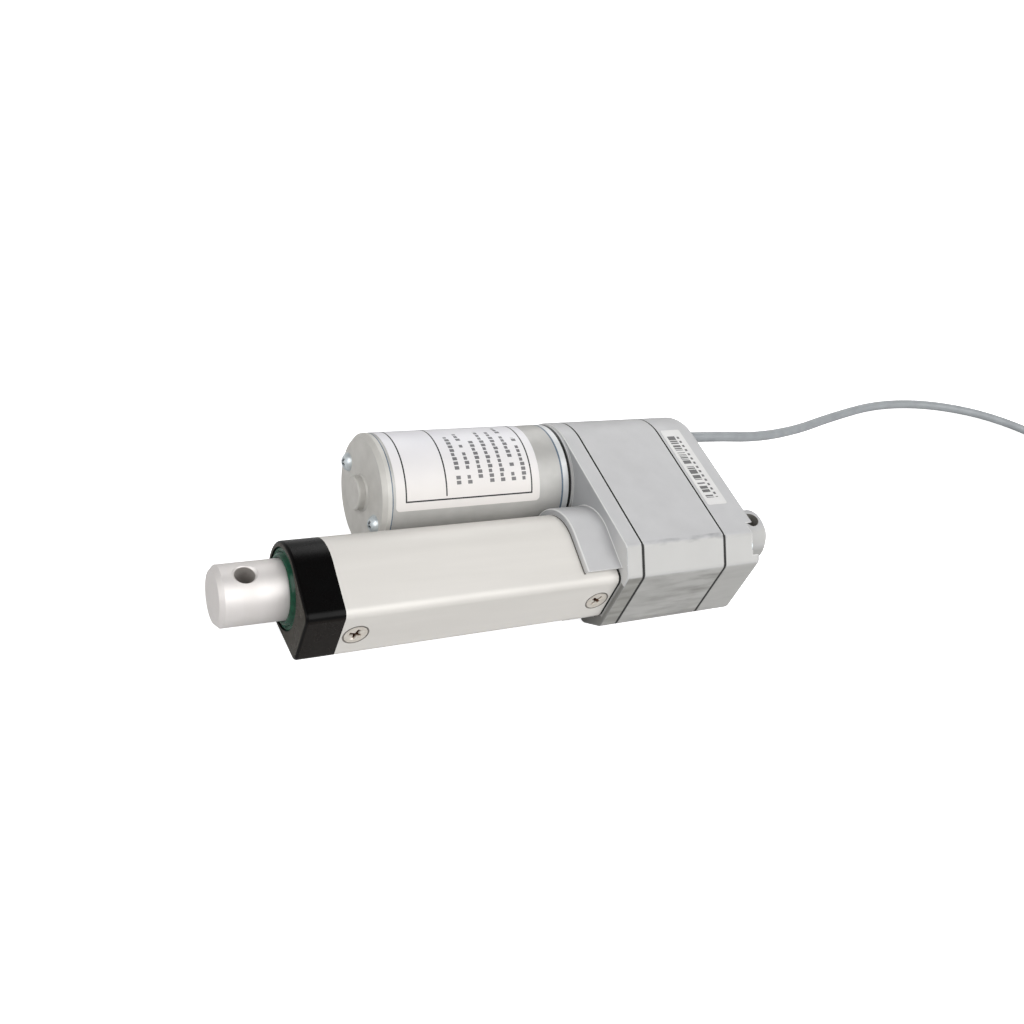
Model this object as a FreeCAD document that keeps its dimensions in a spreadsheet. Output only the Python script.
import FreeCAD, Part
import math
import os
import re
import Sketcher

# Electric linear actuator, retracted. X runs along the rod towards its tip, Z along the pin holes,
# and the motor lies at -Y beside the tube. The origin is the centre of the rear pin hole. Millimetres.

SIZES = {
    # clearances shared by all fits
    "fit_clearance": 0.02,
    "running_clearance": 0.05,
    "spin_clearance": 0.3,
    "slide_clearance": 0.4,
    # pin holes, rod and rear clevis
    "hole_distance": 201.5,
    "pin_hole_radius": 3.2,
    "stroke": 50.8,
    "rod_radius": 10.0,
    "rod_tip": 8.8,
    "rod_tip_chamfer": 1.5,
    "rod_bore_radius": 6.0,
    "clevis_radius": 10.0,
    "clevis_tip": 7.5,
    "clevis_chamfer": 2.8,
    # gearbox case
    "cover_start": 10.8,
    "cover_length": 18.43,
    "cover_wall": 4.0,
    "cover_edge": 2.5,
    "gasket_thickness": 0.85,
    "gasket_recess": 0.05,
    "housing_length": 35.74,
    "web_thickness": 5.0,
    "plate_thickness": 6.38,
    "case_half_height": 21.8,
    "case_rod_side": 23.5,
    "case_motor_side": 37.8,
    "case_chamfer": 8.2,
    "case_corner": 3.0,
    "case_inner_corner": 1.0,
    "case_wall": 2.4,
    "case_rim": 0.5,
    "column_radius": 3.0,
    "rod_column_inset": 7.5,
    "rod_column_drop": 7.2,
    "motor_column_inset": 4.3,
    "motor_column_angle": 49.0,
    "case_screw_radius": 1.5,
    "case_screw_head_radius": 2.8,
    "case_screw_head_height": 2.4,
    "case_screw_sink": 1.4,
    "case_screw_grip": 4.0,
    # tube with a round motor side, two tapering flanks and a narrow flat
    "tube_length": 101.25,
    "tube_gasket_thickness": 0.9,
    "tube_radius": 15.4,
    "tube_flat_depth": 21.2,
    "tube_flat_half_width": 10.9,
    "tube_corner": 3.0,
    "tube_inner_corner": 1.0,
    "tube_wall": 2.5,
    "spigot_length": 11.0,
    "saddle_length": 14.0,
    "saddle_wall": 2.3,
    "saddle_edge": 0.7,
    "saddle_root": 0.35,
    "saddle_depth": 18.5,
    "saddle_lean": 8.5,
    "tube_screw_inset": 5.2,
    "tube_screw_radius": 2.0,
    "tube_screw_head_radius": 3.95,
    "tube_screw_rim_gap": 0.25,
    "tube_screw_head_height": 2.2,
    # front cap, rod bush and wiper
    "cap_length": 12.9,
    "cap_corner": 3.0,
    "cap_edge": 1.0,
    "cap_web": 1.0,
    "cap_bore_clearance": 0.4,
    "bush_outer_radius": 11.8,
    "wiper_depth": 5.5,
    "wiper_radius": 13.5,
    "wiper_lip": 0.9,
    "wiper_heel": 1.1,
    "wiper_groove": 0.9,
    "wiper_recess": 0.4,
    # ball bearings of the screw
    "bearing_bore_radius": 4.0,
    "bearing_radius": 11.0,
    "bearing_width": 7.0,
    "bearing_pitch_radius": 7.5,
    "inner_ring_radius": 6.1,
    "outer_ring_radius": 8.9,
    "ball_radius": 2.0,
    "ball_count": 7,
    "cage_radius": 0.7,
    "bearing_lip": 2.0,
    "plate_lip": 1.3,
    "bearing_seat_wall": 2.2,
    "lip_overlap": 1.6,
    # gear train
    "motor_module": 0.6,
    "motor_pinion_teeth": 12,
    "idler_gear_teeth": 48,
    "screw_module": 0.6,
    "idler_pinion_teeth": 12,
    "output_gear_teeth": 56,
    "tooth_shift": 0.35,
    "tooth_thinning": 0.08,
    "output_gear_width": 9.0,
    "idler_gear_width": 6.0,
    "motor_pinion_width": 9.0,
    "mesh_overhang": 1.5,
    "idler_pin_radius": 2.0,
    "idler_hub_radius": 3.4,
    "idler_boss_radius": 4.0,
    "rear_spacer_length": 1.5,
    "spacer_radius": 5.2,
    "key_width": 3.0,
    "key_height": 2.8,
    "key_inset": 1.0,
    # lead screw and drive nut
    "thread_radius": 5.0,
    "thread_chamfer": 1.0,
    "lock_nut_width": 13.0,
    "lock_nut_length": 5.0,
    "screw_tail": 0.9,
    "screw_overrun": 1.7,
    "nut_gap": 2.0,
    "nut_length": 20.0,
    "nut_socket": 10.0,
    "nut_switch_gap": 0.7,
    "nut_pin_radius": 1.2,
    # limit switches in the narrow channel
    "board_thickness": 1.5,
    "board_half_width": 7.5,
    "board_end_gap": 4.2,
    "switch_length": 12.8,
    "switch_half_width": 3.2,
    "switch_height": 4.2,
    "plunger_radius": 0.9,
    "plunger_length": 2.8,
    "plunger_travel": 0.5,
    # motor
    "motor_radius": 21.0,
    "can_wall": 2.0,
    "can_length": 67.1,
    "collar_height": 0.9,
    "collar_inset": 0.8,
    "mount_gasket_thickness": 0.9,
    "mount_gasket_recess": 0.8,
    "bell_length": 3.15,
    "seal_thickness": 0.4,
    "end_cap_length": 3.0,
    "end_cap_chamfer": 1.5,
    "end_boss_radius": 6.2,
    "end_boss_wall": 0.9,
    "end_boss_edge": 0.6,
    "end_boss_root": 0.6,
    "pilot_radius": 6.5,
    "pilot_length": 4.0,
    "motor_shaft_radius": 1.6,
    "motor_bush_radius": 4.0,
    "motor_bush_length": 5.4,
    "motor_bolt_gap": 0.9,
    "motor_bolt_radius": 1.5,
    "motor_bolt_head_radius": 3.5,
    "motor_bolt_head_height": 2.4,
    "mount_screw_circle": 12.5,
    "mount_screw_radius": 1.5,
    "mount_screw_head_radius": 2.75,
    "mount_screw_head_height": 2.0,
    "armature_length": 36.0,
    "armature_start": 14.0,
    "armature_slots": 5,
    "armature_slot_width": 2.6,
    "armature_slot_depth": 6.5,
    "winding_inset": 1.3,
    "winding_length": 6.0,
    "commutator_radius": 5.0,
    "commutator_length": 8.0,
    "magnet_seat": 0.2,
    "magnet_gap": 0.6,
    "magnet_thickness": 5.3,
    "magnet_angle": 120.0,
    "brush_card_thickness": 2.0,
    "brush_width": 4.0,
    "brush_length": 3.6,
    "brush_reach": 7.0,
    "brush_holder_wall": 1.2,
    "brush_holder_start": 6.5,
    # cable
    "gland_y": 50.4,
    "gland_z": 5.8,
    "gland_radius": 3.6,
    "gland_collar_radius": 5.0,
    "gland_collar_length": 2.0,
    "gland_tail_length": 8.0,
    "gland_tail_radius": 2.9,
    "cable_radius": 2.2,
    "coil_outer_radius": 28.0,
    "coil_turn_pitch": 4.6,
    "coil_layer_pitch": 4.5,
    "coil_margin": 0.2,
    "coil_end_angle": 140.3,
    "tie_thickness": 0.8,
    "tie_width": 4.0,
    "tie_angle": 320.0,
    "lead_radius": 0.75,
    "lead_spacing": 1.6,
    "lead_length": 28.0,
}

# the direction in which the tube's tapering flank faces, as an angle from the narrow flat's
FLANK_SIDE = "sqrt(tube_flat_depth ^ 2 + tube_flat_half_width ^ 2)"
FLANK = f"atan2(tube_flat_half_width; tube_flat_depth) + acos(tube_radius / {FLANK_SIDE})"

PLACES = {
    "flank_cos": f"cos({FLANK})",
    "flank_sin": f"sin({FLANK})",
    "rod_end": "hole_distance + rod_tip",
    "cover_inside": "cover_start + cover_wall",
    "cover_front": "cover_start + cover_length",
    "housing_back": "cover_front + gasket_thickness",
    "web_front": "housing_back + web_thickness",
    "housing_front": "housing_back + housing_length",
    "plate_back": "housing_front + gasket_thickness",
    "plate_front": "plate_back + plate_thickness",
    "tube_back": "plate_front + tube_gasket_thickness",
    "tube_front": "tube_back + tube_length",
    "cap_front": "tube_front + cap_length",
    "saddle_radius": "tube_radius + fit_clearance + saddle_wall",
    "saddle_corner_z": "(saddle_radius - saddle_depth * flank_cos) / flank_sin",
    "saddle_corner_room": (
        "(case_rod_side + case_half_height - case_chamfer - saddle_depth - saddle_corner_z) / sqrt(2)"
    ),
    "saddle_top_room": "case_half_height - saddle_radius",
    "saddle_root_radius": (
        "min(saddle_root; 0.9 * (saddle_corner_room - case_rim); 0.9 * (saddle_top_room - case_rim))"
    ),
    "collar_radius": "case_half_height - collar_inset",
    "tube_screw_length": "tube_flat_depth - bush_outer_radius - slide_clearance",
    "spigot_front": "plate_front + spigot_length",
    "cap_back": "tube_front - spigot_length",
    "wiper_back": "cap_front - wiper_depth",
    "bush_front": "wiper_back - cap_web",
    "rear_bearing_back": "housing_back + bearing_lip",
    "rear_bearing_front": "rear_bearing_back + bearing_width",
    "front_bearing_front": "plate_front - plate_lip",
    "front_bearing_back": "front_bearing_front - bearing_width",
    "bearing_seat_radius": "bearing_radius + fit_clearance",
    "bearing_boss_radius": "bearing_seat_radius + bearing_seat_wall",
    "lip_radius": "bearing_radius - lip_overlap",
    "gear_back": "rear_bearing_front + rear_spacer_length",
    "gear_front": "gear_back + output_gear_width",
    "idler_y": "-screw_module * (idler_pinion_teeth + output_gear_teeth) / 2",
    "motor_y": "idler_y - motor_module * (motor_pinion_teeth + idler_gear_teeth) / 2",
    "idler_back": "gear_back - mesh_overhang",
    "idler_gear_back": "gear_front + 2 * mesh_overhang",
    "idler_gear_front": "idler_gear_back + idler_gear_width",
    "idler_front": "idler_gear_front + mesh_overhang",
    "motor_pinion_back": "idler_gear_back - mesh_overhang",
    "nut_back": "spigot_front + nut_gap",
    "nut_front": "nut_back + nut_length",
    "rod_back": "nut_front - nut_socket",
    "screw_back": "rear_bearing_back - lock_nut_length - screw_tail",
    "screw_front": "nut_front + stroke + screw_overrun",
    "rod_bore_end": "screw_front + 2 * screw_overrun",
    "channel_flat": "tube_flat_depth - tube_wall",
    "switch_base": "channel_flat - board_thickness",
    "switch_face": "switch_base - switch_height",
    "nut_depth": "switch_face - nut_switch_gap",
    "plunger_tip": "nut_depth + slide_clearance",
    "board_length": "cap_back - nut_back - board_end_gap",
    "rear_switch_middle": "(nut_back + nut_front) / 2",
    "front_switch_middle": "rear_switch_middle + stroke",
    "collar_front": "plate_front + collar_height",
    "bell_back": "collar_front + mount_gasket_thickness",
    "bell_front": "bell_back + bell_length",
    "can_back": "bell_front + seal_thickness",
    "can_front": "can_back + can_length",
    "end_cap_back": "can_front + seal_thickness",
    "end_cap_front": "end_cap_back + end_cap_length",
    "end_boss_height": "motor_bush_length + end_boss_wall - end_cap_length",
    "can_inner_radius": "motor_radius - can_wall",
    "magnet_radius": "can_inner_radius - magnet_seat",
    "armature_radius": "magnet_radius - magnet_thickness - magnet_gap",
    "winding_radius": "armature_radius - winding_inset",
    "motor_bolt_circle": "armature_radius + motor_bolt_gap + motor_bolt_radius",
    "pilot_back": "bell_back - pilot_length",
    "armature_back": "bell_front + armature_start",
    "armature_front": "armature_back + armature_length",
    "commutator_back": "armature_front + winding_length + spin_clearance",
    "brush_card_back": "end_cap_back - brush_card_thickness",
    "motor_shaft_front": "end_cap_back + motor_bush_length - spin_clearance",
    "case_screw_back": "cover_start + case_screw_sink",
    "gland_front": "cover_start - gland_collar_length - gland_tail_length",
    "floor": "-case_half_height",
    "coil_bottom": "floor + tie_thickness",
    "coil_height": "2 * cable_radius + coil_layer_pitch",
    "coil_inside": "coil_outer_radius - 2 * coil_turn_pitch - cable_radius - coil_margin",
    "coil_outside": "coil_outer_radius + cable_radius + coil_margin",
}

# the free cable, chosen by hand: it sinks from the gland to the floor, bends round behind the actuator
# and runs into its coil
CABLE_POINTS = [
    (10.8, -50.4, 5.8),
    (-12.0, -50.4, 5.8),
    (-46.0, -55.1, -1.9),
    (-88.0, -69.2, -13.2),
    (-122.0, -82.2, -19.6),
    (-165.0, -91.0, -19.6),
    (-208.0, -88.0, -19.6),
    (-247.0, -73.0, -18.7),
    (-284.3, -41.4, -18.7),
]
COIL_CENTRE = (-266.2, -20.0)

TURN = {
    "X": FreeCAD.Rotation(FreeCAD.Vector(0, 1, 0), 90),
    "Y": FreeCAD.Rotation(FreeCAD.Vector(1, 0, 0), -90),
    "Z": FreeCAD.Rotation(),
}
ALONG_X = FreeCAD.Vector(1, 0, 0)
UPRIGHT = FreeCAD.Vector(0, 0, 1)
PRESSURE_ANGLE = math.radians(20)

doc = FreeCAD.newDocument("LinearActuator")
subparts = []


def formula(text):
    """Names the sheet of each size and place in a formula."""

    def with_sheet(match):
        word = match.group()
        if word in SIZES:
            return f"Dims.{word}"
        return f"Places.{word}" if word in PLACES else word

    return re.sub(r"[A-Za-z_]\w*", with_sheet, text)


def fill_sheets():
    """Writes the driving sizes as numbers, and the places that follow from them as formulas."""
    dims = doc.addObject("Spreadsheet::Sheet", "Dims")
    for row, (name, size) in enumerate(SIZES.items(), 1):
        dims.set(f"A{row}", name)
        dims.set(f"B{row}", str(size))
        dims.setAlias(f"B{row}", name)
    doc.recompute()
    places = doc.addObject("Spreadsheet::Sheet", "Places")
    for row, (name, text) in enumerate(PLACES.items(), 1):
        places.set(f"A{row}", name)
        places.setAlias(f"B{row}", name)
        places.set(f"B{row}", "=" + formula(text))
    doc.recompute()
    return dims


sheet = fill_sheets()


def number(text):
    return float(sheet.evalExpression(formula(text)))


def bind(item, **formulas):
    for name, text in formulas.items():
        item.setExpression(name, formula(text))


def place(item, at):
    for axis, text in zip("xyz", at):
        item.setExpression(f"Placement.Base.{axis}", formula(text))


def keep(item):
    """Marks a finished piece, which is written to a file under its label."""
    subparts.append(item)
    return item


def cylinder(name, radius, length, at, axis="X"):
    item = doc.addObject("Part::Cylinder", name)
    item.Placement = FreeCAD.Placement(FreeCAD.Vector(), TURN[axis])
    bind(item, Radius=radius, Height=length)
    place(item, at)
    return item


def cone(name, radius, far_radius, length, at, axis):
    item = doc.addObject("Part::Cone", name)
    item.Placement = FreeCAD.Placement(FreeCAD.Vector(), TURN[axis])
    bind(item, Radius1=radius, Radius2=far_radius, Height=length)
    place(item, at)
    return item


def box(name, length, width, height, at):
    item = doc.addObject("Part::Box", name)
    bind(item, Length=length, Width=width, Height=height)
    place(item, at)
    return item


def joined(name, *pieces):
    item = doc.addObject("Part::MultiFuse", name)
    item.Shapes = list(pieces)
    return item


def cut(name, base, *tools):
    item = doc.addObject("Part::Cut", name)
    item.Base = base
    item.Tool = tools[0] if len(tools) == 1 else joined(f"{name}_tools", *tools)
    return item


def group(name, *pieces):
    item = doc.addObject("Part::Compound", name)
    item.Links = list(pieces)
    return item


def solid(name, shape):
    item = doc.addObject("Part::Feature", name)
    item.Shape = shape
    return item


def pin(sketch, edge, point, axis, text):
    """Holds one coordinate of a sketch point to a formula."""
    if text == "0":
        sketch.addConstraint(Sketcher.Constraint("PointOnObject", edge, point, (-2, -1)[axis]))
        return
    kind = ("DistanceX", "DistanceY")[axis]
    index = sketch.addConstraint(Sketcher.Constraint(kind, -1, 1, edge, point, number(text)))
    sketch.setExpression(f"Constraints[{index}]", formula(text))


def draw_edge(sketch, start, end, centre):
    if centre is None:
        return sketch.addGeometry(Part.LineSegment(start, end))
    circle = Part.Circle(centre, UPRIGHT, (start - centre).Length)
    angles = [math.atan2(point.y - centre.y, point.x - centre.x) for point in (start, end)]
    return sketch.addGeometry(Part.ArcOfCircle(circle, *angles))


def draw(sketch, outline):
    """Draws a closed outline anticlockwise. A corner of four formulas starts an arc about the last two."""
    corners = [FreeCAD.Vector(*[number(text) for text in corner[:2]], 0) for corner in outline]
    edges = []
    for index, corner in enumerate(outline):
        end = corners[(index + 1) % len(outline)]
        centre = FreeCAD.Vector(*[number(text) for text in corner[2:]], 0) if corner[2:] else None
        edges.append(draw_edge(sketch, corners[index], end, centre))
    for edge, after in zip(edges, edges[1:] + edges[:1]):
        sketch.addConstraint(Sketcher.Constraint("Coincident", edge, 2, after, 1))
    for index, (edge, corner) in enumerate(zip(edges, outline)):
        pin(sketch, edge, 1, 0, corner[0])
        pin(sketch, edge, 1, 1, corner[1])
        if corner[2:]:
            chord = corners[(index + 1) % len(outline)] - corners[index]
            axis = 0 if abs(chord.y) > abs(chord.x) else 1
            pin(sketch, edge, 3, axis, corner[2 + axis])


def sketch_on(body, role):
    sketch = body.newObject("Sketcher::SketchObject", f"{body.Name}_sketch")
    plane = [item for item in body.Origin.OriginFeatures if item.Role == role][0]
    sketch.AttachmentSupport = [(plane, "")]
    sketch.MapMode = "FlatFace"
    return sketch


def turned(name, outline, at=("0", "0", "0"), angle="360"):
    """A body turned about X, from an outline of (x, radius) corners."""
    body = doc.addObject("PartDesign::Body", name)
    sketch = sketch_on(body, "XY_Plane")
    draw(sketch, outline)
    turn = body.newObject("PartDesign::Revolution", f"{name}_turn")
    turn.Profile = sketch
    turn.ReferenceAxis = (sketch, ["H_Axis"])
    turn.Midplane = True
    bind(turn, Angle=angle)
    place(body, at)
    return body


def ring(name, inner, outer, length, at):
    """A plain turned sleeve."""
    return turned(name, [("0", inner), (length, inner), (length, outer), ("0", outer)], at)


def padded(name, outlines, length, at=("0", "0", "0")):
    """A body of constant section along X, from outlines of (y, z) corners."""
    body = doc.addObject("PartDesign::Body", name)
    sketch = sketch_on(body, "YZ_Plane")
    for outline in outlines:
        draw(sketch, outline)
    pad = body.newObject("PartDesign::Pad", f"{name}_pad")
    pad.Profile = sketch
    bind(pad, Length=length)
    place(body, at)
    return body


def raise_on(body, outline, x, length):
    """Adds a second section to a padded body, from the plane at x onwards."""
    doc.recompute()
    sketch = sketch_on(body, "YZ_Plane")
    sketch.setExpression("AttachmentOffset.Base.z", formula(x))
    draw(sketch, outline)
    pad = body.newObject("PartDesign::Pad", f"{body.Name}_step")
    pad.Profile = sketch
    bind(pad, Length=length)
    return body


def round_edges(body, x, radius, outline=None):
    """Rounds the edges of a padded body in the plane at x, or only those of one outline there."""
    doc.recompute()
    base = body.Tip
    plane = number(x)
    corners = [[number(text) for text in corner[:2]] for corner in outline or []]

    def chosen(vertex):
        on_outline = any(math.dist(corner, (vertex.Y, vertex.Z)) < 1e-6 for corner in corners)
        return abs(vertex.X - plane) < 1e-6 and (on_outline or outline is None)

    names = [
        f"Edge{index}"
        for index, edge in enumerate(base.Shape.Edges, 1)
        if all(chosen(vertex) for vertex in edge.Vertexes)
    ]
    rounding = body.newObject("PartDesign::Fillet", f"{body.Name}_rounding")
    rounding.Base = (base, names)
    bind(rounding, Radius=radius)
    return body


def tube_outline(offset, corner):
    """The tube's section moved outwards by an offset: a round side, two flanks and a narrow flat."""
    radius = f"(tube_radius + {offset})"
    flat = f"(tube_flat_depth + {offset})"
    corner_y = f"({flat} - {corner})"
    corner_z = f"(({radius} - {corner} - {corner_y} * flank_cos) / flank_sin)"
    shoulder_y = f"{corner_y} + {corner} * flank_cos"
    shoulder_z = f"({corner_z} + {corner} * flank_sin)"
    return [
        (flat, f"-{corner_z}"),
        (flat, corner_z, corner_y, corner_z),
        (shoulder_y, shoulder_z),
        (f"{radius} * flank_cos", f"{radius} * flank_sin", "0", "0"),
        (f"{radius} * flank_cos", f"-{radius} * flank_sin"),
        (shoulder_y, f"-{shoulder_z}", corner_y, f"-{corner_z}"),
    ]


def case_outline(offset, corner):
    """The gearbox's section moved outwards: a half round motor side, and a rod side whose chamfers have
    rounded corners."""
    height = f"(case_half_height + {offset})"
    side = f"(case_rod_side + {offset})"
    chamfer = f"(case_chamfer + {offset} * (2 - sqrt(2)))"
    reach = f"({corner} * (sqrt(2) - 1))"
    flat_z = f"({height} - {chamfer} - {reach})"
    flat_y = f"({side} - {chamfer} - {reach})"
    low = (f"{side} - {reach} / sqrt(2)", f"({height} - {chamfer} + {reach} / sqrt(2))")
    high = (f"{side} - {chamfer} + {reach} / sqrt(2)", f"({height} - {reach} / sqrt(2))")
    return [
        (side, f"-{flat_z}"),
        (side, flat_z, f"{side} - {corner}", flat_z),
        low,
        (*high, flat_y, f"{height} - {corner}"),
        (flat_y, height),
        ("-case_motor_side", height, "-case_motor_side", "0"),
        ("-case_motor_side", f"-{height}"),
        (flat_y, f"-{height}", flat_y, f"-({height} - {corner})"),
        (high[0], f"-{high[1]}"),
        (low[0], f"-{low[1]}", f"{side} - {corner}", f"-{flat_z}"),
    ]


def case_columns():
    """Where the four long case screws stand, as (y, z) formulas."""
    reach = "(case_half_height - motor_column_inset)"
    for sign in ("", "-"):
        yield "case_rod_side - rod_column_inset", f"{sign}(case_half_height - rod_column_drop)"
        yield (
            f"-case_motor_side - {reach} * cos(motor_column_angle)",
            f"{sign}{reach} * sin(motor_column_angle)",
        )


def case_posts(name, radius, length, x):
    """One cylinder on each case screw's axis."""
    return [
        cylinder(f"{name}_{index}", radius, length, (x, y, z))
        for index, (y, z) in enumerate(case_columns(), 1)
    ]


def rear_cover():
    block = padded(
        "cover_block", [case_outline("0", "case_corner")], "cover_length", ("cover_start", "0", "0")
    )
    round_edges(block, "0", "cover_edge")
    hollow = padded(
        "cover_hollow",
        [case_outline("-case_wall", "case_inner_corner")],
        "cover_length - cover_wall",
        ("cover_inside", "0", "0"),
    )
    shell = cut("cover_shell", block, hollow)
    boss = turned(
        "clevis_boss",
        [
            ("0", "0"),
            ("clevis_tip + cover_inside", "0"),
            ("clevis_tip + cover_inside", "clevis_radius"),
            ("clevis_chamfer", "clevis_radius"),
            ("0", "clevis_radius - clevis_chamfer"),
        ],
        ("-clevis_tip", "0", "0"),
    )
    posts = case_posts("cover_post", "column_radius", "cover_length - cover_wall", "cover_inside")
    body = joined("cover_body", shell, boss, *posts)
    pin_hole = cylinder(
        "rear_pin_hole", "pin_hole_radius", "2 * clevis_radius", ("0", "0", "-clevis_radius"), "Z"
    )
    gland_hole = cylinder(
        "gland_hole", "gland_radius + fit_clearance", "cover_wall", ("cover_start", "-gland_y", "gland_z")
    )
    bores = case_posts("cover_bore", "case_screw_radius + running_clearance", "cover_length", "cover_start")
    sinks = case_posts(
        "cover_sink",
        "case_screw_head_radius + running_clearance",
        "case_screw_sink + case_screw_head_height + running_clearance",
        "cover_start",
    )
    keep(cut("gearbox_rear_cover", body, pin_hole, gland_hole, *bores, *sinks))


def middle_housing():
    block = padded(
        "housing_block", [case_outline("0", "case_corner")], "housing_length", ("housing_back", "0", "0")
    )
    hollow = padded(
        "housing_hollow",
        [case_outline("-case_wall", "case_inner_corner")],
        "housing_length - web_thickness",
        ("web_front", "0", "0"),
    )
    shell = cut("housing_shell", block, hollow)
    posts = case_posts("housing_post", "column_radius", "housing_length", "housing_back")
    seat = cylinder(
        "rear_bearing_boss",
        "bearing_boss_radius",
        "rear_bearing_front - web_front",
        ("web_front", "0", "0"),
    )
    boss = cylinder(
        "idler_rear_boss",
        "idler_boss_radius",
        "idler_back - spin_clearance - web_front",
        ("web_front", "idler_y", "0"),
    )
    body = joined("housing_body", shell, seat, boss, *posts)
    bearing = cylinder(
        "rear_bearing_seat", "bearing_seat_radius", "bearing_width", ("rear_bearing_back", "0", "0")
    )
    lip = cylinder("rear_bearing_lip", "lip_radius", "bearing_lip", ("housing_back", "0", "0"))
    axle = cylinder(
        "idler_rear_hole",
        "idler_pin_radius + fit_clearance",
        "idler_back - rear_bearing_back",
        ("rear_bearing_back", "idler_y", "0"),
    )
    bores = case_posts(
        "housing_bore", "case_screw_radius + running_clearance", "housing_length", "housing_back"
    )
    keep(cut("gearbox_middle_housing", body, bearing, lip, axle, *bores))


def saddle_outline():
    """The saddle's outer side: the tube's round side and flanks, a wall further out."""
    return [
        ("saddle_depth", "saddle_corner_z"),
        ("saddle_radius * flank_cos", "saddle_radius * flank_sin", "0", "0"),
        ("saddle_radius * flank_cos", "-saddle_radius * flank_sin"),
        ("saddle_depth", "-saddle_corner_z"),
    ]


def front_plate():
    block = padded(
        "plate_block", [case_outline("0", "case_corner")], "plate_thickness", ("plate_back", "0", "0")
    )
    round_edges(block, "plate_thickness", "case_rim")
    undercut = ("saddle_depth - saddle_lean", "0")
    raise_on(block, [*saddle_outline(), undercut], "plate_thickness", "saddle_length")
    round_edges(block, "plate_thickness + saddle_length", "saddle_edge", saddle_outline())
    round_edges(block, "plate_thickness", "saddle_root_radius", saddle_outline())
    nest = padded(
        "saddle_nest",
        [tube_outline("fit_clearance", "tube_corner")],
        "saddle_length",
        ("plate_front", "0", "0"),
    )
    motor_space = cylinder(
        "saddle_motor_space",
        "motor_radius + spin_clearance",
        "saddle_length",
        ("plate_front", "motor_y", "0"),
    )
    saddle = cut("plate_with_saddle", block, nest, motor_space)
    spigot = padded(
        "plate_spigot",
        [tube_outline("-(tube_wall + fit_clearance)", "tube_inner_corner")],
        "spigot_length",
        ("plate_front", "0", "0"),
    )
    collar = cylinder("motor_collar", "collar_radius", "collar_height", ("plate_front", "motor_y", "0"))
    seat = cylinder(
        "front_bearing_boss",
        "bearing_boss_radius",
        "plate_back - front_bearing_back",
        ("front_bearing_back", "0", "0"),
    )
    boss = cylinder(
        "idler_front_boss",
        "idler_boss_radius",
        "plate_back - idler_front - spin_clearance",
        ("idler_front + spin_clearance", "idler_y", "0"),
    )
    body = joined("plate_body", saddle, spigot, collar, seat, boss)
    bearing = cylinder(
        "front_bearing_seat", "bearing_seat_radius", "bearing_width", ("front_bearing_back", "0", "0")
    )
    bore = cylinder(
        "plate_bore", "lip_radius", "plate_lip + spigot_length", ("front_bearing_front", "0", "0")
    )
    pilot = cylinder(
        "pilot_hole",
        "pilot_radius + fit_clearance",
        "plate_thickness + collar_height",
        ("plate_back", "motor_y", "0"),
    )
    axle = cylinder(
        "idler_front_hole",
        "idler_pin_radius + fit_clearance",
        "front_bearing_front - idler_front",
        ("idler_front", "idler_y", "0"),
    )
    bores = case_posts(
        "plate_bore_thread", "case_screw_radius + running_clearance", "case_screw_grip", "plate_back"
    )
    motor_bores = mount_screw_bores("plate", "plate_thickness + collar_height", "plate_back")
    tube_bore = tube_screw_bore("plate_tube_bore", "tube_back + tube_screw_inset")
    keep(
        cut("gearbox_front_plate", body, bearing, bore, pilot, axle, tube_bore, *bores, *motor_bores)
    )


def tube_screw_bore(name, x):
    """The hole for a tube screw's shank, from the narrow flat inwards."""
    return cylinder(
        name,
        "tube_screw_radius + running_clearance",
        "tube_screw_length + running_clearance",
        (x, "tube_flat_depth - tube_screw_length - running_clearance", "0"),
        "Y",
    )


def gaskets():
    for name, x in (("rear_gasket", "cover_front"), ("front_gasket", "housing_front")):
        outer = case_outline("-gasket_recess", "case_corner")
        inner = case_outline("-case_wall", "case_inner_corner")
        keep(padded(name, [outer, inner], "gasket_thickness", (x, "0", "0")))


def case_screws():
    """Four long screws from the rear cover into the front plate."""
    screws = []
    for index, (y, z) in enumerate(case_columns(), 1):
        head = cylinder(
            f"case_screw_head_{index}",
            "case_screw_head_radius",
            "case_screw_head_height",
            ("case_screw_back", y, z),
        )
        shank = cylinder(
            f"case_screw_shank_{index}",
            "case_screw_radius",
            "plate_back + case_screw_grip - case_screw_back - running_clearance",
            ("case_screw_back", y, z),
        )
        screws.append(joined(f"case_screw_{index}", head, shank))
    keep(group("gearbox_screws", *screws))


def outer_tube():
    outlines = [
        tube_outline("0", "tube_corner"),
        tube_outline("-tube_wall", "tube_inner_corner"),
    ]
    keep(padded("tube_gasket", outlines, "tube_gasket_thickness", ("plate_front", "0", "0")))
    wall = padded("tube_wall_section", outlines, "tube_length", ("tube_back", "0", "0"))
    sinks = []
    for name, x in tube_screw_places():
        at = (x, "tube_flat_depth - tube_screw_head_height - running_clearance", "0")
        sinks.append(
            cone(
                f"{name}_sink",
                "tube_screw_radius + running_clearance",
                "tube_screw_head_radius + tube_screw_rim_gap",
                "tube_screw_head_height + running_clearance",
                at,
                "Y",
            )
        )
        sinks.append(tube_screw_bore(f"{name}_tube_bore", x))
    keep(cut("outer_tube", wall, *sinks))


def tube_screw_places():
    yield "rear_tube_screw", "tube_back + tube_screw_inset"
    yield "front_tube_screw", "tube_front - tube_screw_inset"


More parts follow.
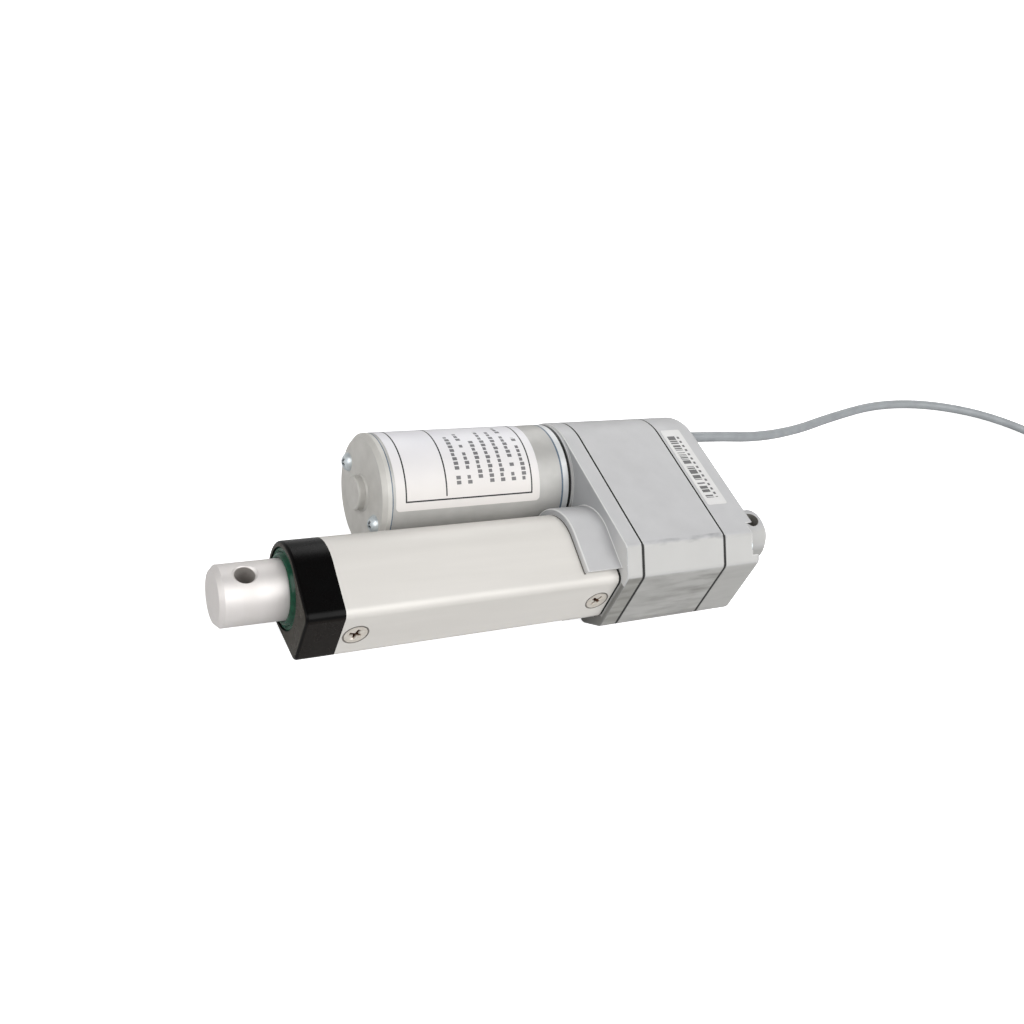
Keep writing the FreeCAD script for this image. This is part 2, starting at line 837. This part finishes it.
def tube_screws():
    """Two countersunk screws that hold the tube on the plate's and the cap's spigots."""
    screws = []
    for name, x in tube_screw_places():
        head = cone(
            f"{name}_head",
            "tube_screw_radius",
            "tube_screw_head_radius",
            "tube_screw_head_height",
            (x, "tube_flat_depth - tube_screw_head_height", "0"),
            "Y",
        )
        shank = cylinder(
            f"{name}_shank",
            "tube_screw_radius",
            "tube_screw_length - tube_screw_head_height",
            (x, "tube_flat_depth - tube_screw_length", "0"),
            "Y",
        )
        screws.append(joined(name, head, shank))
    keep(group("tube_screws", *screws))


def front_cap():
    block = padded(
        "cap_block", [tube_outline("0", "cap_corner")], "cap_length", ("tube_front", "0", "0")
    )
    round_edges(block, "cap_length", "cap_edge")
    spigot = padded(
        "cap_spigot",
        [tube_outline("-(tube_wall + fit_clearance)", "tube_inner_corner")],
        "spigot_length",
        ("cap_back", "0", "0"),
    )
    body = joined("cap_body", block, spigot)
    bush_bore = cylinder(
        "cap_bush_bore",
        "bush_outer_radius + fit_clearance",
        "bush_front - cap_back",
        ("cap_back", "0", "0"),
    )
    rod_bore = cylinder(
        "cap_rod_bore", "rod_radius + cap_bore_clearance", "cap_front - cap_back", ("cap_back", "0", "0")
    )
    wiper_bore = cylinder(
        "cap_wiper_bore", "wiper_radius + fit_clearance", "wiper_depth", ("wiper_back", "0", "0")
    )
    tube_bore = tube_screw_bore("cap_tube_bore", "tube_front - tube_screw_inset")
    keep(cut("front_cap", body, bush_bore, rod_bore, wiper_bore, tube_bore))


def rod_seals():
    keep(
        ring(
            "rod_guide_bush",
            "rod_radius + running_clearance",
            "bush_outer_radius",
            "bush_front - cap_back",
            ("cap_back", "0", "0"),
        )
    )
    lip = "rod_radius + running_clearance"
    heel = f"{lip} + wiper_heel"
    middle = f"({lip} + wiper_radius) / 2"
    rim = "wiper_depth - wiper_recess"
    keep(
        turned(
            "rod_wiper_seal",
            [
                ("0", heel),
                ("wiper_depth - wiper_heel", heel),
                ("wiper_depth + wiper_lip - wiper_heel / 2", lip),
                ("wiper_depth + wiper_lip", f"{lip} + wiper_heel / 4"),
                (f"{rim} - wiper_groove", middle),
                (rim, f"{middle} + wiper_groove / 2"),
                (rim, "wiper_radius - wiper_heel / 4"),
                (f"{rim} - wiper_heel / 4", "wiper_radius"),
                ("0", "wiper_radius"),
            ],
            ("wiper_back", "0", "0"),
        )
    )


def bearings():
    """Two ball bearings on the screw: outer rings in the case, inner rings on the screw, balls between."""
    for name, x in (("rear_bearing", "rear_bearing_back"), ("front_bearing", "front_bearing_back")):
        outer = ring(
            f"{name}_outer_blank",
            "outer_ring_radius",
            "bearing_radius",
            "bearing_width",
            (x, "0", "0"),
        )
        inner = ring(
            f"{name}_inner_blank",
            "bearing_bore_radius + fit_clearance",
            "inner_ring_radius",
            "bearing_width",
            (x, "0", "0"),
        )
        for side, blank in (("outer", outer), ("inner", inner)):
            race = doc.addObject("Part::Torus", f"{name}_{side}_race")
            race.Placement = FreeCAD.Placement(FreeCAD.Vector(), TURN["X"])
            bind(race, Radius1="bearing_pitch_radius", Radius2="ball_radius + running_clearance")
            place(race, (f"{x} + bearing_width / 2", "0", "0"))
            keep(cut(f"{name}_{side}_ring", blank, race))
        cage = doc.addObject("Part::Torus", f"{name}_cage")
        cage.Placement = FreeCAD.Placement(FreeCAD.Vector(), TURN["X"])
        bind(cage, Radius1="bearing_pitch_radius", Radius2="cage_radius")
        place(cage, (f"{x} + bearing_width / 2", "0", "0"))
        balls = []
        for index in range(int(number("ball_count"))):
            ball = doc.addObject("Part::Sphere", f"{name}_ball_{index + 1}")
            bind(ball, Radius="ball_radius")
            angle = f"{index} * 360 / ball_count"
            place(
                ball,
                (
                    f"{x} + bearing_width / 2",
                    f"bearing_pitch_radius * cos({angle})",
                    f"bearing_pitch_radius * sin({angle})",
                ),
            )
            balls.append(ball)
        keep(joined(f"{name}_balls", cage, *balls))


def involute(angle):
    return math.tan(angle) - angle


def gear_wire(module, teeth, shift, tooth_at):
    """A closed wire of gear teeth in the YZ plane. Each flank is one arc through three involute points."""
    pitch = module * teeth / 2
    base = pitch * math.cos(PRESSURE_ANGLE)
    root = pitch + module * (shift - 1.25)
    tip = pitch + module * (shift + 1)
    thickness = module * (math.pi / 2 + 2 * shift * math.tan(PRESSURE_ANGLE)) - number("tooth_thinning")
    low = max(base, root)

    def half_angle(radius):
        swing = involute(PRESSURE_ANGLE) - involute(math.acos(min(1, base / radius)))
        return thickness / (2 * pitch) + swing

    def point(radius, angle):
        return FreeCAD.Vector(0, radius * math.cos(angle), radius * math.sin(angle))

    edges = []
    step = 2 * math.pi / teeth
    middle = (low + tip) / 2
    for index in range(teeth):
        axis = tooth_at + index * step
        rise = [point(radius, axis - half_angle(radius)) for radius in (low, middle, tip)]
        fall = [point(radius, axis + half_angle(radius)) for radius in (tip, middle, low)]
        foot = point(root, axis - half_angle(low))
        heel = point(root, axis + half_angle(low))
        if low > root:
            edges.append(Part.LineSegment(foot, rise[0]).toShape())
        edges.append(Part.Arc(*rise).toShape())
        edges.append(Part.Arc(rise[2], point(tip, axis), fall[0]).toShape())
        edges.append(Part.Arc(*fall).toShape())
        if low > root:
            edges.append(Part.LineSegment(fall[2], heel).toShape())
        gap = point(root, axis + step / 2)
        after = point(root, axis + step - half_angle(low))
        edges.append(Part.Arc(heel, gap, after).toShape())
    return Part.Wire(edges)


def gear(name, module, teeth, shift, width, bore, at, tooth_at=0.0):
    """A spur gear along X from its module, teeth and profile shift, with a plain bore."""
    wire = gear_wire(number(module), int(number(teeth)), number(shift), tooth_at)
    blank = Part.Face(wire).extrude(ALONG_X * number(width))
    hole = Part.makeCylinder(number(bore), number(width), FreeCAD.Vector(), ALONG_X)
    item = solid(name, blank.cut(hole))
    place(item, at)
    return item


def motor_pinion():
    keep(
        gear(
            "motor_pinion",
            "motor_module",
            "motor_pinion_teeth",
            "tooth_shift",
            "motor_pinion_width",
            "motor_shaft_radius + fit_clearance",
            ("motor_pinion_back", "motor_y", "0"),
        )
    )


def idler():
    """The cluster gear between motor and screw: a long pinion with the large gear pressed on its hub."""
    keep(
        gear(
            "idler_gear",
            "motor_module",
            "idler_gear_teeth",
            "-tooth_shift",
            "idler_gear_width",
            "idler_hub_radius + fit_clearance",
            ("idler_gear_back", "idler_y", "0"),
            math.pi / number("idler_gear_teeth"),
        )
    )
    teeth = gear(
        "idler_pinion_teeth_part",
        "screw_module",
        "idler_pinion_teeth",
        "tooth_shift",
        "idler_gear_back - idler_back",
        "idler_pin_radius + running_clearance",
        ("idler_back", "idler_y", "0"),
    )
    hub = ring(
        "idler_hub",
        "idler_pin_radius + running_clearance",
        "idler_hub_radius",
        "idler_front - idler_gear_back",
        ("idler_gear_back", "idler_y", "0"),
    )
    keep(joined("idler_pinion", teeth, hub))
    keep(
        cylinder(
            "idler_pin",
            "idler_pin_radius",
            "front_bearing_front - rear_bearing_back",
            ("rear_bearing_back", "idler_y", "0"),
        )
    )


def output_gear():
    """The gear on the screw, driven through a key."""
    blank = gear(
        "output_gear_blank",
        "screw_module",
        "output_gear_teeth",
        "-tooth_shift",
        "output_gear_width",
        "bearing_bore_radius + fit_clearance",
        ("gear_back", "0", "0"),
        math.pi / number("output_gear_teeth"),
    )
    keep(cut("output_gear", blank, key_slot("output_key_slot", "output_gear_width", "gear_back")))
    key = box(
        "output_gear_key",
        "output_gear_width - 2 * key_inset",
        "key_height",
        "key_width",
        ("gear_back + key_inset", "bearing_bore_radius - key_height / 2", "-key_width / 2"),
    )
    keep(key)


def key_slot(name, length, x):
    """A slot round the key, from half its height below the shaft's surface to half above."""
    return box(
        name,
        length,
        "key_height + 2 * fit_clearance",
        "key_width + 2 * fit_clearance",
        (x, "bearing_bore_radius - key_height / 2 - fit_clearance", "-key_width / 2 - fit_clearance"),
    )


def lead_screw():
    bar = turned(
        "lead_screw_bar",
        [
            ("0", "0"),
            ("screw_front - screw_back", "0"),
            ("screw_front - screw_back", "thread_radius - thread_chamfer"),
            ("screw_front - screw_back - thread_chamfer", "thread_radius"),
            ("front_bearing_front - screw_back", "thread_radius"),
            ("front_bearing_front - screw_back", "bearing_bore_radius"),
            ("0", "bearing_bore_radius"),
        ],
        ("screw_back", "0", "0"),
    )
    slot = key_slot("screw_key_slot", "output_gear_width - 2 * key_inset", "gear_back + key_inset")
    keep(cut("lead_screw", bar, slot))
    bore = "bearing_bore_radius + fit_clearance"
    spacers = (
        ("rear_gear_spacer", "rear_spacer_length", "rear_bearing_front"),
        ("front_gear_spacer", "front_bearing_back - gear_front", "gear_front"),
    )
    for name, length, x in spacers:
        keep(ring(name, bore, "spacer_radius", length, (x, "0", "0")))
    hexagon = doc.addObject("Part::Prism", "lock_nut_hexagon")
    hexagon.Polygon = 6
    hexagon.Placement = FreeCAD.Placement(FreeCAD.Vector(), TURN["X"])
    bind(hexagon, Circumradius="lock_nut_width / sqrt(3)", Height="lock_nut_length")
    place(hexagon, ("rear_bearing_back - lock_nut_length", "0", "0"))
    hole = cylinder(
        "lock_nut_hole", bore, "lock_nut_length", ("rear_bearing_back - lock_nut_length", "0", "0")
    )
    keep(cut("screw_lock_nut", hexagon, hole))


def piston_rod():
    bar = turned(
        "piston_rod_bar",
        [
            ("rod_bore_end - rod_back", "0"),
            ("rod_end - rod_back", "0"),
            ("rod_end - rod_back", "rod_radius - rod_tip_chamfer"),
            ("rod_end - rod_back - rod_tip_chamfer", "rod_radius"),
            ("0", "rod_radius"),
            ("0", "rod_bore_radius"),
            ("rod_bore_end - rod_back", "rod_bore_radius"),
        ],
        ("rod_back", "0", "0"),
    )
    pin_hole = cylinder(
        "rod_pin_hole", "pin_hole_radius", "2 * rod_radius", ("hole_distance", "0", "-rod_radius"), "Z"
    )
    keep(cut("piston_rod", bar, pin_hole, nut_pin("rod_nut_bore", "fit_clearance")))


def nut_pin(name, clearance):
    """The cross pin's place through the nut's socket and the rod."""
    reach = "tube_radius - tube_wall - slide_clearance"
    return cylinder(
        name,
        f"nut_pin_radius + {clearance}",
        f"2 * ({reach})",
        ("rod_back + nut_socket / 2", "0", f"-({reach})"),
        "Z",
    )


def drive_nut():
    """The nut, kept from turning by the tube's flanks, with a socket for the rod."""
    block = padded(
        "nut_block",
        [tube_outline("-(tube_wall + slide_clearance)", "tube_inner_corner")],
        "nut_length",
        ("nut_back", "0", "0"),
    )
    channel = box(
        "nut_channel_side",
        "nut_length",
        "tube_flat_depth",
        "2 * tube_radius",
        ("nut_back", "nut_depth", "-tube_radius"),
    )
    thread = cylinder(
        "nut_thread_bore", "thread_radius + running_clearance", "nut_length", ("nut_back", "0", "0")
    )
    socket = cylinder("nut_socket_bore", "rod_radius + fit_clearance", "nut_socket", ("rod_back", "0", "0"))
    bore = nut_pin("nut_pin_bore", "fit_clearance")
    keep(cut("drive_nut", block, channel, thread, socket, bore))
    core = cylinder("nut_pin_gap", "rod_bore_radius", "nut_socket", ("rod_back", "0", "0"))
    keep(cut("nut_pins", nut_pin("nut_pin_bar", "0"), core))


def limit_switches():
    """A board on the channel's flat with a switch over each end of the nut's travel."""
    keep(
        box(
            "limit_switch_board",
            "board_length",
            "board_thickness",
            "2 * board_half_width",
            ("nut_back", "switch_base", "-board_half_width"),
        )
    )
    for name, middle in (("rear", "rear_switch_middle"), ("front", "front_switch_middle")):
        case = box(
            f"{name}_switch_case",
            "switch_length",
            "switch_height",
            "2 * switch_half_width",
            (f"{middle} - switch_length / 2", "switch_face", "-switch_half_width"),
        )
        bore = cylinder(
            f"{name}_switch_bore",
            "plunger_radius + running_clearance",
            "plunger_tip + plunger_length + plunger_travel + spin_clearance - switch_face",
            (middle, "switch_face", "0"),
            "Y",
        )
        keep(cut(f"{name}_limit_switch", case, bore))
        keep(
            cylinder(
                f"{name}_switch_plunger",
                "plunger_radius",
                "plunger_length",
                (middle, "plunger_tip", "0"),
                "Y",
            )
        )


def motor_case():
    at_motor = ("motor_y", "0")
    gasket = ring(
        "mount_gasket_blank",
        "pilot_radius + running_clearance",
        "motor_radius - mount_gasket_recess",
        "mount_gasket_thickness",
        ("collar_front", *at_motor),
    )
    holes = mount_screw_bores("mount_gasket", "mount_gasket_thickness", "collar_front")
    keep(cut("motor_mount_gasket", gasket, *holes))
    bush = "motor_bush_radius + fit_clearance"
    bell = turned(
        "bell_blank",
        [
            ("0", bush),
            ("pilot_length + bell_length", bush),
            ("pilot_length + bell_length", "motor_radius"),
            ("pilot_length", "motor_radius"),
            ("pilot_length", "pilot_radius"),
            ("0", "pilot_radius"),
        ],
        ("pilot_back", *at_motor),
    )
    threads = motor_bolt_bores("bell", "bell_length", "bell_back")
    mounts = mount_screw_bores("bell", "bell_length", "bell_back")
    keep(cut("motor_front_bell", bell, *threads, *mounts))
    seals = [
        ring(f"{name}_seal", "can_inner_radius", "motor_radius", "seal_thickness", (x, *at_motor))
        for name, x in (("bell", "bell_front"), ("end_cap", "can_front"))
    ]
    keep(group("motor_seals", *seals))
    keep(ring("motor_can", "can_inner_radius", "motor_radius", "can_length", ("can_back", *at_motor)))
    boss, edge = "end_cap_length + end_boss_height", "end_boss_edge"
    cap = turned(
        "end_cap_blank",
        [
            ("0", bush),
            ("motor_bush_length", bush),
            ("motor_bush_length", "0"),
            (boss, "0"),
            (boss, f"end_boss_radius - {edge}", f"{boss} - {edge}", f"end_boss_radius - {edge}"),
            (f"{boss} - {edge}", "end_boss_radius"),
            ("end_cap_length + end_boss_root", "end_boss_radius"),
            ("end_cap_length", "end_boss_radius + end_boss_root"),
            ("end_cap_length", "motor_radius - end_cap_chamfer"),
            ("end_cap_length - end_cap_chamfer", "motor_radius"),
            ("0", "motor_radius"),
        ],
        ("end_cap_back", *at_motor),
    )
    keep(cut("motor_end_cap", cap, *motor_bolt_bores("end_cap", "end_cap_length", "end_cap_back")))
    for name, x in (("motor_front_bush", "pilot_back"), ("motor_rear_bush", "end_cap_back")):
        keep(
            ring(
                name,
                "motor_shaft_radius + running_clearance",
                "motor_bush_radius",
                "motor_bush_length",
                (x, *at_motor),
            )
        )


def motor_bolt_places():
    """The two through bolts stand on the line from the motor to the rod."""
    for sign in ("+", "-"):
        yield f"motor_y {sign} motor_bolt_circle"


def motor_bolt_bores(name, length, x):
    return [
        cylinder(f"{name}_bolt_bore_{index}", "motor_bolt_radius + running_clearance", length, (x, y, "0"))
        for index, y in enumerate(motor_bolt_places(), 1)
    ]


def mount_screw_bores(name, length, x):
    """Holes for the two screws that hold the motor on the front plate."""
    return [
        cylinder(
            f"{name}_mount_bore_{index}",
            "mount_screw_radius + running_clearance",
            length,
            (x, "motor_y", f"{sign}mount_screw_circle"),
        )
        for index, sign in enumerate(("", "-"), 1)
    ]


def motor_fasteners():
    """Two through bolts with domed heads on the end cap, and two screws from inside the gearbox."""
    bolts = []
    dome = "(motor_bolt_head_radius ^ 2 - motor_bolt_head_height ^ 2) / (2 * motor_bolt_head_height)"
    shank = "end_cap_front - bell_back"
    for index, y in enumerate(motor_bolt_places(), 1):
        bolts.append(
            turned(
                f"motor_bolt_{index}",
                [
                    ("0", "0"),
                    (f"{shank} + motor_bolt_head_height", "0", f"{shank} - {dome}", "0"),
                    (shank, "motor_bolt_head_radius"),
                    (shank, "motor_bolt_radius"),
                    ("0", "motor_bolt_radius"),
                ],
                ("bell_back", y, "0"),
            )
        )
    keep(group("motor_through_bolts", *bolts))
    screws = []
    for index, sign in enumerate(("", "-"), 1):
        z = f"{sign}mount_screw_circle"
        head = cylinder(
            f"mount_screw_head_{index}",
            "mount_screw_head_radius",
            "mount_screw_head_height",
            ("plate_back - mount_screw_head_height", "motor_y", z),
        )
        shank = cylinder(
            f"mount_screw_shank_{index}",
            "mount_screw_radius",
            "bell_front - plate_back",
            ("plate_back", "motor_y", z),
        )
        screws.append(joined(f"mount_screw_{index}", head, shank))
    keep(group("motor_mount_screws", *screws))


def magnets():
    """Two ceramic magnet arcs above and below the armature, clear of the through bolts."""
    arcs = []
    inner = "armature_radius + magnet_gap"
    for index, side in enumerate((90, -90), 1):
        outline = [
            ("0", inner),
            ("armature_length", inner),
            ("armature_length", "magnet_radius"),
            ("0", "magnet_radius"),
        ]
        arc = turned(f"magnet_{index}", outline, ("armature_back", "motor_y", "0"), "magnet_angle")
        arc.Placement.Rotation = FreeCAD.Rotation(ALONG_X, side)
        arcs.append(arc)
    keep(group("motor_magnets", *arcs))


def armature():
    """The rotor: a shaft with a slotted core, end windings and a commutator."""
    keep(
        turned(
            "motor_shaft",
            [
                ("0", "0"),
                ("motor_shaft_front - motor_pinion_back", "0"),
                ("motor_shaft_front - motor_pinion_back", "motor_shaft_radius"),
                ("0", "motor_shaft_radius"),
            ],
            ("motor_pinion_back", "motor_y", "0"),
        )
    )
    bore = "motor_shaft_radius + fit_clearance"
    core = ring(
        "armature_core",
        bore,
        "armature_radius",
        "armature_length",
        ("armature_back", "motor_y", "0"),
    )
    slots = sketch_on(core, "YZ_Plane")
    draw(
        slots,
        [
            ("armature_radius - armature_slot_depth", "-armature_slot_width / 2"),
            ("armature_radius + magnet_gap", "-armature_slot_width / 2"),
            ("armature_radius + magnet_gap", "armature_slot_width / 2"),
            ("armature_radius - armature_slot_depth", "armature_slot_width / 2"),
        ],
    )
    doc.recompute()
    solid_volume = core.Shape.Volume
    slot = core.newObject("PartDesign::Pocket", "armature_slot")
    slot.Profile = slots
    slot.Type = "ThroughAll"
    slot.Reversed = True
    doc.recompute()
    pattern = core.newObject("PartDesign::PolarPattern", "armature_slot_pattern")
    pattern.Originals = [slot]
    pattern.Axis = (slots, ["N_Axis"])
    pattern.Angle = 360
    bind(pattern, Occurrences="armature_slots")
    core.Tip = pattern
    doc.recompute()
    if not core.Shape.Volume < solid_volume:
        raise RuntimeError("the armature's slots cut nothing")
    keep(core)
    windings = [
        ring(f"{name}_winding", bore, "winding_radius", "winding_length", (x, "motor_y", "0"))
        for name, x in (("bell_end", "armature_back - winding_length"), ("brush_end", "armature_front"))
    ]
    keep(group("armature_windings", *windings))
    keep(
        ring(
            "commutator",
            bore,
            "commutator_radius",
            "commutator_length",
            ("commutator_back", "motor_y", "0"),
        )
    )


def brushes():
    """A card with two brush holders on the end cap, and the brushes on the commutator."""
    disc = ring(
        "brush_card_disc",
        "commutator_radius + 2 * spin_clearance",
        "can_inner_radius - spin_clearance",
        "brush_card_thickness",
        ("brush_card_back", "motor_y", "0"),
    )
    outer_length = "brush_length + 2 * brush_holder_wall"
    outer_width = "brush_width + 2 * brush_holder_wall"
    start = "commutator_radius + running_clearance"
    holders = []
    slots = []
    carbons = []
    for index, sign in enumerate((1, -1), 1):
        low = "brush_holder_start" if sign > 0 else f"-({start} + brush_reach)"
        holders.append(
            box(
                f"brush_holder_{index}",
                outer_length,
                outer_width,
                f"{start} + brush_reach - brush_holder_start",
                (
                    f"brush_card_back - ({outer_length})",
                    f"motor_y - ({outer_width}) / 2",
                    low,
                ),
            )
        )
        slots.append(brush_box(f"brush_slot_{index}", sign, "fit_clearance"))
        carbons.append(brush_box(f"brush_{index}", sign, "0"))
    card = joined("brush_card_body", disc, *holders)
    bolts = motor_bolt_bores("card", "brush_card_thickness", "brush_card_back")
    keep(cut("brush_card", card, *slots, *bolts))
    keep(group("motor_brushes", *carbons))


def brush_box(name, sign, clearance):
    """A brush, or its slot, from the commutator outwards along Z."""
    start = "commutator_radius + running_clearance"
    low = start if sign > 0 else f"-({start} + brush_reach)"
    return box(
        name,
        f"brush_length + 2 * {clearance}",
        f"brush_width + 2 * {clearance}",
        "brush_reach",
        (
            f"brush_card_back - brush_holder_wall - brush_length - {clearance}",
            f"motor_y - brush_width / 2 - {clearance}",
            low,
        ),
    )


def cable_gland():
    bore = "cable_radius + fit_clearance"
    tail = "gland_tail_length"
    keep(
        turned(
            "cable_gland",
            [
                ("0", bore),
                (f"{tail} + gland_collar_length + cover_wall", bore),
                (f"{tail} + gland_collar_length + cover_wall", "gland_radius"),
                (f"{tail} + gland_collar_length", "gland_radius"),
                (f"{tail} + gland_collar_length", "gland_collar_radius"),
                (tail, "gland_collar_radius"),
                ("0", "gland_tail_radius"),
            ],
            ("gland_front", "-gland_y", "gland_z"),
        )
    )


def cable_path(points):
    """Straight runs joined by tangent arcs, each as large as its two runs allow."""
    points = [FreeCAD.Vector(*point) for point in points]
    edges = []
    start = points[0]
    for before, point, after in zip(points, points[1:], points[2:]):
        back = before - point
        ahead = after - point
        reach = 0.45 * min(back.Length, ahead.Length)
        turn = math.pi - back.getAngle(ahead)
        radius = reach / math.tan(turn / 2)
        back.normalize()
        ahead.normalize()
        first = point + back * reach
        last = point + ahead * reach
        inward = back + ahead
        inward.normalize()
        middle = point + inward * (radius / math.cos(turn / 2) - radius)
        edges.append(Part.LineSegment(start, first).toShape())
        edges.append(Part.Arc(first, middle, last).toShape())
        print(f"cable bend of radius {radius:.1f} through {math.degrees(turn):.1f} degrees")
        start = last
    edges.append(Part.LineSegment(start, points[-1]).toShape())
    return Part.Wire(edges)


def coil_ring():
    """The space of the tied coil on the floor."""
    at = FreeCAD.Vector(*COIL_CENTRE, number("coil_bottom"))
    height = number("coil_height")
    hole = Part.makeCylinder(number("coil_inside"), height, at)
    return Part.makeCylinder(number("coil_outside"), height, at).cut(hole)


def cable_run():
    path = cable_path(CABLE_POINTS)
    radius = number("cable_radius")
    start = path.Edges[0]
    circle = Part.makeCircle(radius, start.Vertexes[0].Point, start.tangentAt(start.FirstParameter))
    tube = path.makePipeShell([Part.Wire(circle)], True, False)
    share = tube.Volume / (math.pi * radius**2 * path.Length)
    print(f"cable run {path.Length:.1f} mm long, volume share {share:.5f}")
    keep(solid("cable_run", tube.cut(coil_ring())))


def cable_coil():
    """The rest of the cable as one ring, tied once, with its two leads at the end."""
    coil = coil_ring()
    keep(solid("cable_coil", coil))
    width = number("tie_width")
    inside = number("coil_inside - tie_thickness")
    outside = number("coil_outside + tie_thickness")
    height = number("coil_height + 2 * tie_thickness")
    strap = Part.makeBox(outside - inside, width, height, FreeCAD.Vector(inside, -width / 2, 0))
    strap.Placement = FreeCAD.Placement(
        FreeCAD.Vector(*COIL_CENTRE, number("floor")),
        FreeCAD.Rotation(UPRIGHT, number("tie_angle")),
    )
    keep(solid("cable_tie", strap.cut(coil)))
    angle = math.radians(number("coil_end_angle"))
    outward = FreeCAD.Vector(math.cos(angle), math.sin(angle), 0)
    ahead = FreeCAD.Vector(math.sin(angle), -math.cos(angle), 0)
    radius = number("lead_radius")
    level = UPRIGHT * number("coil_bottom + coil_height - cable_radius")
    leads = []
    for index, side in enumerate((-0.5, 0.5), 1):
        reach = number("coil_outer_radius") + side * number("lead_spacing")
        start = FreeCAD.Vector(*COIL_CENTRE, 0) + outward * reach + level
        end = start + ahead * number("lead_length")
        end.z = number("floor") + radius
        wire = Part.makeCylinder(radius, (end - start).Length, start, end - start)
        leads.append(solid(f"cable_lead_{index}", wire.cut(coil)))
    keep(group("cable_leads", *leads))


def check_and_export():
    """Tests every object, then writes each piece to its own file."""
    doc.recompute()
    failed = [item.Label for item in doc.Objects if {"Invalid", "Error"} & set(item.State)]
    for item in subparts:
        if item.Shape.isNull() or not item.Shape.isValid() or not item.Shape.Solids:
            failed.append(item.Label)
    if failed:
        raise RuntimeError(f"failed: {failed}")
    os.makedirs("parts", exist_ok=True)
    for item in subparts:
        item.Shape.exportStep(f"parts/{item.Label}.step")
    print(f"{len(subparts)} pieces written")


rear_cover()
middle_housing()
front_plate()
gaskets()
case_screws()
outer_tube()
tube_screws()
front_cap()
rod_seals()
bearings()
motor_pinion()
idler()
output_gear()
lead_screw()
piston_rod()
drive_nut()
limit_switches()
motor_case()
motor_fasteners()
magnets()
armature()
brushes()
cable_gland()
cable_run()
cable_coil()
check_and_export()
